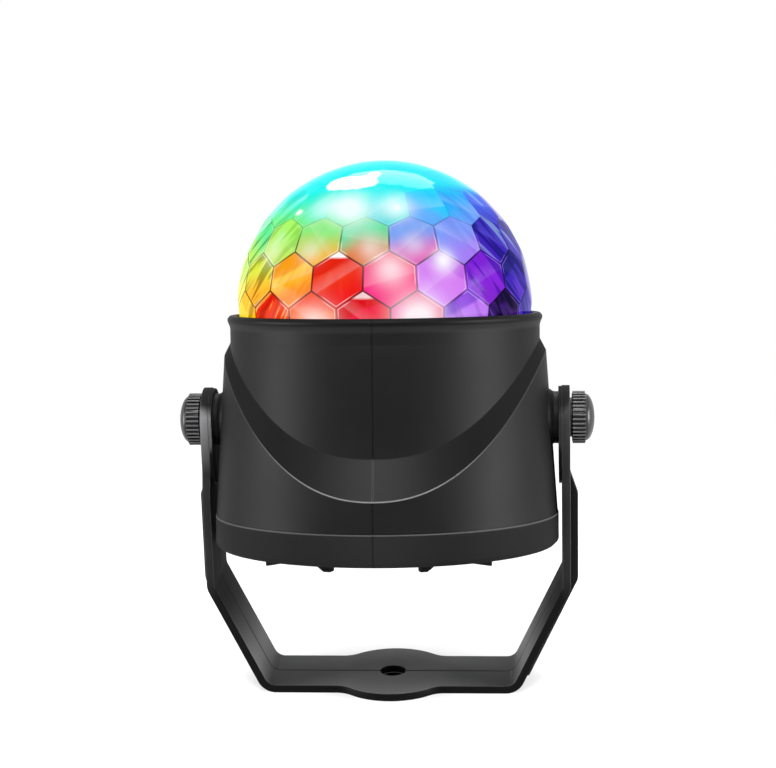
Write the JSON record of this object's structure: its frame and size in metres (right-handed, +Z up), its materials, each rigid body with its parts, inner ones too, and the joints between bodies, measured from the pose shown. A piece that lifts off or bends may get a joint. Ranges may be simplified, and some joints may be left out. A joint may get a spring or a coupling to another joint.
{
  "type": "led disco ball light",
  "caption": "Small rotating party light: a faceted crystal dome driven by a geared motor in a round housing, tilting in a bent steel bracket with thumb screws",
  "frame": {"origin": "on the surface it stands on, under the middle of the whole object's box", "axes": "+Z up, the front of the lamp faces -Y, +X to the viewer's right and along the tilt axis; the head leans back 10.6 degrees at rest, as in the picture"},
  "size_m": [0.1046, 0.0908, 0.1344],
  "materials": {
    "bracket_paint": "satin black powder coat",
    "housing_plastic": "satin black moulding",
    "base_plastic": "matt black moulding",
    "foot_rubber": "matt rubber",
    "knob_plastic": "satin black moulding with grip ridges",
    "steel": "zinc plated",
    "brass": "turned",
    "aluminium": "mill finish",
    "crystal": "clear, faceted and polished",
    "carrier_plastic": "plain moulding",
    "gear_plastic": "acetal",
    "case_plastic": "plain moulding",
    "board_green": "solder mask",
    "board_white": "white solder mask",
    "chip_black": "moulded epoxy",
    "capacitor_sleeve": "shrink sleeve",
    "lens_clear": "clear moulding",
    "led_red": "lamp, lit red",
    "led_green": "lamp, lit green",
    "led_blue": "lamp, lit blue",
    "red_wire": "wire sleeve",
    "black_wire": "wire sleeve",
    "white_wire": "wire sleeve"
  },
  "bodies": {
    "bracket": {"bracket": "bracket_paint"},
    "head": {"housing_left": "housing_plastic", "housing_right": "housing_plastic", "base_plate": "base_plastic", "base_screw_1": "steel", "base_screw_2": "steel", "base_screw_3": "steel", "base_screw_4": "steel", "foot_front_right": "foot_rubber", "foot_front_left": "foot_rubber", "foot_back_right": "foot_rubber", "foot_back_left": "foot_rubber", "pivot_insert_right": "brass", "pivot_insert_left": "brass", "idler_axle": "steel", "motor_can": "steel", "gear_case": "case_plastic", "gear_cover": "case_plastic", "gear_case_screw_1": "steel", "gear_case_screw_2": "steel", "shaft_bush": "brass", "heat_deck": "aluminium", "deck_screw_1": "steel", "deck_screw_2": "steel", "deck_screw_3": "steel", "deck_screw_4": "steel", "led_board": "board_white", "led_red": "led_red", "led_green": "led_green", "led_blue": "led_blue", "led_lens_red": "lens_clear", "led_lens_green": "lens_clear", "led_lens_blue": "lens_clear", "control_board": "board_green", "board_screw_1": "steel", "board_screw_2": "steel", "control_chip": "chip_black", "capacitor": "capacitor_sleeve", "microphone": "aluminium", "power_socket": "chip_black", "mode_switch": "chip_black", "motor_lead_red": "red_wire", "motor_lead_black": "black_wire", "led_harness": "white_wire"},
    "dome": {"crystal_dome": "crystal", "dome_carrier": "carrier_plastic", "carrier_screw": "steel", "output_shaft": "steel", "output_gear": "gear_plastic"},
    "idler": {"idler_gear": "gear_plastic"},
    "rotor": {"motor_shaft": "steel", "motor_pinion": "brass"},
    "washer_right": {"spring_washer_right": "steel"},
    "screw_right": {"knob_right": "knob_plastic", "stud_right": "steel"},
    "washer_left": {"spring_washer_left": "steel"},
    "screw_left": {"knob_left": "knob_plastic", "stud_left": "steel"},
    "button": {"mode_button": "knob_plastic"}
  },
  "joints": [
    {"name": "head_tilt", "type": "hinge", "parent": "bracket", "child": "head", "pos_m": [0, 0.00216, 0.07], "axis": [1, 0, 0], "continuous": true},
    {"name": "dome_spin", "type": "hinge", "parent": "head", "child": "dome", "pos_m": [0, 0.00216, 0.07], "axis": [0, 0.184, 0.9829], "continuous": true},
    {"name": "idler_spin", "type": "hinge", "parent": "head", "child": "idler", "pos_m": [0, 0.01632, 0.06735], "axis": [0, 0.184, 0.9829], "continuous": true},
    {"name": "rotor_spin", "type": "hinge", "parent": "head", "child": "rotor", "pos_m": [0, 0.00216, 0.07], "axis": [0, 0.184, 0.9829], "continuous": true},
    {"name": "right_screw_travel", "type": "slide", "parent": "head", "child": "washer_right", "axis": [1, 0, 0], "range_m": [0, 0.0014]},
    {"name": "right_screw_turn", "type": "hinge", "parent": "washer_right", "child": "screw_right", "pos_m": [0.046, 0.00216, 0.07], "axis": [1, 0, 0], "range_deg": [0, 720]},
    {"name": "left_screw_travel", "type": "slide", "parent": "head", "child": "washer_left", "axis": [-1, 0, 0], "range_m": [0, 0.0014]},
    {"name": "left_screw_turn", "type": "hinge", "parent": "washer_left", "child": "screw_left", "pos_m": [-0.046, 0.00216, 0.07], "axis": [-1, 0, 0], "range_deg": [0, 720]},
    {"name": "mode_button_press", "type": "slide", "parent": "head", "child": "button", "axis": [0.4695, -0.8679, 0.1624], "range_m": [0, 0.0006], "stiffness_N_per_m": 500, "springref_m": -0.0004}
  ],
  "couplings": [
    {"joint": "idler_spin", "follows": "dome_spin", "ratio": -3},
    {"joint": "rotor_spin", "follows": "dome_spin", "ratio": 9},
    {"joint": "right_screw_turn", "follows": "right_screw_travel", "rad_per_m": 8975.9},
    {"joint": "left_screw_turn", "follows": "left_screw_travel", "rad_per_m": 8975.9}
  ]
}
